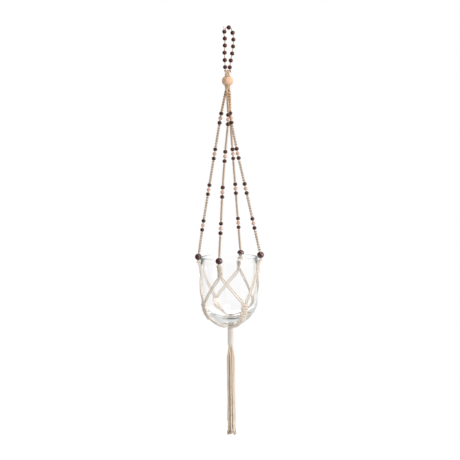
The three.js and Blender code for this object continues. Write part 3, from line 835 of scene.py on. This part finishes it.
# ------------------------------------------------------------------ net
def net_pair(name, arm, angle_to, rng):
    """Two cords from an upper band's foot down round the glass to the head of a lower band. They
    leave the one and meet the other side by side, and run apart from each other in between."""
    way = math.copysign(1, math.sin(angle_to - arm.angle))
    end = way * ((way * (angle_to - arm.angle)) % TAU)
    top = arm.band_end
    foot = GLASS_BASE + LOWER_TOP_HEIGHT
    top_r = float(glass_radius(top - GLASS_BASE))
    foot_r = float(glass_radius(foot - GLASS_BASE))
    steep = unit(np.array([abs(end) * top_r, top - foot]))
    first_middle = (way * 6.5 * MM / top_r, top - 6 * MM)
    last_middle = (end - way * 7.2 * MM / foot_r, foot + 6 * MM)
    shape = Shape()
    for rank, from_band, to_band in ((1, 4.9 * MM, 2.1 * MM), (-1, 1.7 * MM, 6.4 * MM)):
        first = way * from_band / top_r
        last = end - way * to_band / foot_r
        points = [(first * 0.9, top + 4 * MM), (first, top + 1 * MM)]
        for share in np.linspace(0, 1, 7):
            angle = lerp(first_middle[0], last_middle[0], share)
            z = lerp(first_middle[1], last_middle[1], share)
            apart = rank * (2.5 + rng.uniform(-0.2, 0.25)) * MM
            points.append((angle + way * steep[1] * apart / top_r, z + steep[0] * apart))
        points += [(last, foot - 1 * MM), (last, foot - 5 * MM)]
        route = []
        for angle, z in points:
            r = float(glass_radius(z - GLASS_BASE)) + NET_OFF
            if z > top:
                r += 1.6 * MM
            if z < foot:
                r += 1.2 * MM
            route.append(outward(arm.angle + angle) * r + UP * z)
        line = spaced(smooth(route), 1.0 * MM)
        shape.cord(line, CORD_R, CORD_LAY, phase=rng.uniform(0, TAU), seed=rank + 3)
    shape.make(f"{name}_cords", PALE, "natural_cord", "cradle", [name])


def net():
    rng = random.Random(11)
    for arm in ARMS:
        upper_band(arm)
    for (arm, following), (name, angle) in zip(NEIGHBOURS, LOWER_ANGLES.items()):
        lower_band(name, angle)
        net_pair(f"net_pair_{arm.name}_to_{following.name}", arm, angle, rng)
        net_pair(f"net_pair_{following.name}_to_{arm.name}", following, angle, rng)


# ------------------------------------------------------------------ base, wrap and tassel
def base_cords():
    """The sixteen cords that run in under the foot and turn down into the wrap."""
    under = GLASS_BASE - CORD_R - 0.25 * MM
    # place across the band, then turn and radius of the place among the gathered cords
    spots = [
        (-6.3 * MM, -32, BUNDLE_RING_R), (-2.1 * MM, 0, BUNDLE_RING_R),
        (2.1 * MM, 0, BUNDLE_CORE_R), (6.3 * MM, 32, BUNDLE_RING_R),
    ]
    shape = Shape()
    for k, angle in enumerate(LOWER_ANGLES.values()):
        out = outward(angle)
        side = np.cross(UP, out)
        for seed, (x, turn, ring) in enumerate(spots):
            rows = [(*off_glass(27 * MM, CORD_R + 1.4 * MM), x * 0.85)]
            rows += [(*off_glass(h * MM, CORD_R + 0.3 * MM), x) for h in (19, 12.5, 7, 3)]
            rows += [(GLASS_FOOT_R + 1 * MM, under - 0.1 * MM, x * 0.98), (15 * MM, under, x * 0.9)]
            route = [out * r + UP * z + side * across for r, z, across in rows]
            spot = outward(angle + math.radians(turn)) * ring
            drop = 1.3 * MM if ring > BUNDLE_CORE_R else 0.4 * MM
            route += [
                spot * 1.5 + out * 0.8 * MM + ASIDE * 0.5 + UP * (under - drop * 0.5),
                spot + ASIDE + UP * (under - drop - 2 * MM),
                spot * 0.84 + ASIDE + UP * (under - 9 * MM),
                spot * 0.62 + ASIDE + UP * (under - 20 * MM),
            ]
            line = spaced(smooth(route), 0.9 * MM)
            gathered = smoothstep(17 * MM, 6 * MM, np.hypot(line[:, 0], line[:, 1]))
            radius = lerp(CORD_R, 1.5 * MM, gathered)
            shape.cord(line, radius, CORD_LAY, hint=side, seed=4 * k + seed)
    made = shape.make("base_cords", PALE, "natural_cord")
    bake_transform(made)


def gathering_wrap():
    """A cord wound close round the gathered cords. Both its ends tuck in."""
    low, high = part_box("gathering_wrap")
    tube, pitch, tuck = 1.7 * MM, 3.25 * MM, 2.2 * MM
    top, bottom = high.z - tuck - tube, low.z + tube
    turns = (top - bottom) / pitch
    t = np.linspace(0, TAU * turns, int(turns * 30))
    to_end = np.minimum(t, t[-1] - t)
    r = high.x - tube - tuck * (1 - smoothstep(0, TAU * 0.45, to_end))
    rng = random.Random(6)
    wobble = np.interp(t, np.linspace(0, t[-1], 24), [rng.uniform(-0.12, 0.12) * MM for _ in range(24)])
    line = np.stack([(r + wobble) * np.cos(t), (r + wobble) * np.sin(t), top - t * pitch / TAU], axis=1)
    shape = Shape()
    shape.cord(line + ASIDE, tube, CORD_LAY, hint=(0, 0, 1))
    shape.make("gathering_wrap_coil", WRAP, "natural_cord", "gathering_wrap", ["gathering_wrap"])


def tassel():
    """Sixteen cords hang free from the wrap. Each ends in three opened plies and loose fibres."""
    low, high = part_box("tassel")
    rng = random.Random(8)
    exit_z = high.z
    hem = low.z + 12 * MM
    outer, inner = 11, 5
    places = [(TAU * i / outer, 8.6 * MM) for i in range(outer)]
    places += [(TAU * i / inner + 0.3, 3.8 * MM) for i in range(inner)]
    fray = Shape()
    for number, (angle, ring) in enumerate(places):
        end = hem + rng.uniform(-3.5, 3.5) * MM
        heights = [exit_z + 5 * MM, exit_z - 3 * MM, exit_z - 14 * MM, exit_z - 30 * MM]
        heights += list(np.linspace(exit_z - 60 * MM, end, 8))
        route = []
        drift = rng.uniform(-0.25, 0.25)
        for z in heights:
            depth = (exit_z - z) / (exit_z - end)
            open_up = lerp(0.56, 1.0, smoothstep(exit_z - 2 * MM, exit_z - 30 * MM, z))
            flare = 1 + 0.16 * smoothstep(0.66, 1.05, depth)
            sway = rng.uniform(-0.35, 0.35) * MM * smoothstep(0.1, 0.4, depth)
            turned = angle + drift * depth + rng.uniform(-0.03, 0.03)
            lean = ASIDE * (1 + 0.2 * depth)
            route.append(outward(turned) * (ring * open_up * flare + sway) + lean + UP * z)
        line = spaced(smooth(route, 12), 1.1 * MM)
        radius = CORD_R * lerp(0.8, 1.0, smoothstep(exit_z, exit_z - 16 * MM, line[:, 2]))
        shape = Shape()
        shape.cord(line, radius, CORD_LAY, phase=rng.uniform(0, TAU), seed=number)
        # painted light: the cords on the right, towards the key light, take the paler cotton, and the rest
        # the darker one, painted shade
        material = PALE if math.cos(angle) * ring > 6 * MM else SHADED_TASSEL
        made = shape.make(f"tassel_cord_{number + 1:02d}", material, "natural_cord", nodes=["tassel"])
        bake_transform(made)
        open_end(fray, line, low.z, rng)
    # one cord is looped over the front of the tassel's head
    front = 7.6 * MM
    arch = [(-4.2, -15), (-3.7, -7), (-2.3, -1.5), (0, 0.4), (2.2, -1.5), (3.5, -7), (4.0, -15)]
    route = [point(x * MM, -front, exit_z + z * MM) + ASIDE for x, z in arch]
    route = [route[0] + point(0, 5 * MM, 0), *route, route[-1] + point(0, 5 * MM, 0)]
    fray.cord(spaced(smooth(route), 0.6 * MM), 1.25 * MM, 8 * MM, hint=(0, 1, 0), seed=30)
    fray.make("tassel_fray", SHADED_TASSEL, "natural_cord", "tassel")


def open_end(shape, line, lowest, rng):
    """Three plies spring apart from a cord's end, with thin fibres among them."""
    tip = line[-1]
    down = unit(line[-1] - line[-3])
    outside = unit(tip * point(1, 1, 0))
    turn = rng.uniform(0, TAU)
    drop = tip[2] - lowest
    plies, fibres = 3, 14
    for ply in range(plies):
        away = outward(turn + ply * TAU / plies) + outside * 0.5
        length = min(drop - 0.5 * MM, rng.uniform(8, 13) * MM)
        spring = rng.uniform(0.5, 1.9) * MM
        route = [
            tip + away * 0.5 * CORD_R - down * 2 * MM, tip + away * 0.55 * CORD_R + down * 2.5 * MM,
            tip + away * (0.55 * CORD_R + spring) + down * length,
        ]
        ply_line = spaced(smooth(route), 0.7 * MM)
        radius = np.linspace(0.52, 0.3, len(ply_line)) * CORD_R
        shape.cord(ply_line, radius, 6 * MM, sides=8, plies=2, seed=ply)
    for _ in range(fibres):
        away = outward(rng.uniform(0, TAU)) + outside * rng.uniform(0.2, 1)
        length = min(drop, rng.uniform(6, 13) * MM)
        bend = rng.uniform(0.3, 2.6) * MM
        route = [
            tip + away * 0.6 * CORD_R, tip + away * (0.6 * CORD_R + bend * 0.3) + down * length * 0.5,
            tip + away * (0.6 * CORD_R + bend) + down * length,
        ]
        fibre = spaced(smooth(route, 5), 1.2 * MM)
        shape.cord(fibre, np.linspace(0.17, 0.08, len(fibre)) * MM, 5 * MM, sides=4, plies=2, depth=0.3)


# ------------------------------------------------------------------ glass
def glass():
    """Thick pressed glass: a fire-polished lip, a wall of even thickness and a heavy rounded bottom."""
    def inside(height):
        drop = np.clip((GLASS_BELLY_HEIGHT - height) / (GLASS_BELLY_HEIGHT - GLASS_FLOOR), 0, 1)
        bowl = (GLASS_BELLY_R - GLASS_WALL) * (1 - drop**GLASS_POWER) ** (1 / GLASS_POWER)
        return np.where(height >= GLASS_BELLY_HEIGHT, glass_radius(height) - GLASS_WALL, bowl)

    lip = GLASS_WALL / 2
    wall_top = GLASS_HEIGHT - lip
    up_bowl = np.linspace(0, 1, 34) ** 1.8
    up_wall = np.linspace(80, 150, 4) * MM
    outer_heights = np.concatenate([up_bowl * GLASS_BELLY_HEIGHT, up_wall])[1:]
    outer = [[float(glass_radius(h)), h] for h in [*outer_heights, wall_top]]
    top = [[GLASS_RIM_R - lip + lip * math.cos(a), wall_top + lip * math.sin(a)]
           for a in np.radians([30, 60, 90, 120, 150])]
    inner_heights = np.concatenate([GLASS_FLOOR + (GLASS_BELLY_HEIGHT - GLASS_FLOOR) * up_bowl, up_wall])[1:]
    inner = [[float(inside(h)), h] for h in [wall_top, *inner_heights[::-1]]]
    middle = 0.02 * MM
    foot = GLASS_FOOT_R
    outline = [[middle, 1.2 * MM], [foot * 0.6, 1.0 * MM], [foot * 0.86, 0.3 * MM], [foot * 0.95, 0],
               [foot, 0]]
    outline += outer + top + inner + [[middle, GLASS_FLOOR]]
    shape = Shape()
    shape.lathe(outline, 144, UP * GLASS_BASE, UP)
    made = shape.make("glass_vessel_clear", GLASS, "clear_glass", "glass_vessel", ["glass_vessel"])
    made.visible_shadow = False
    made.visible_diffuse = False


camera()
studio()
floor()
hanging_loop()
loop_beads()
neck_bundle()
crown_bead()
strands()
for strand_arm in ARMS:
    strand_beads(strand_arm)
net()
base_cords()
gathering_wrap()
tassel()
glass()
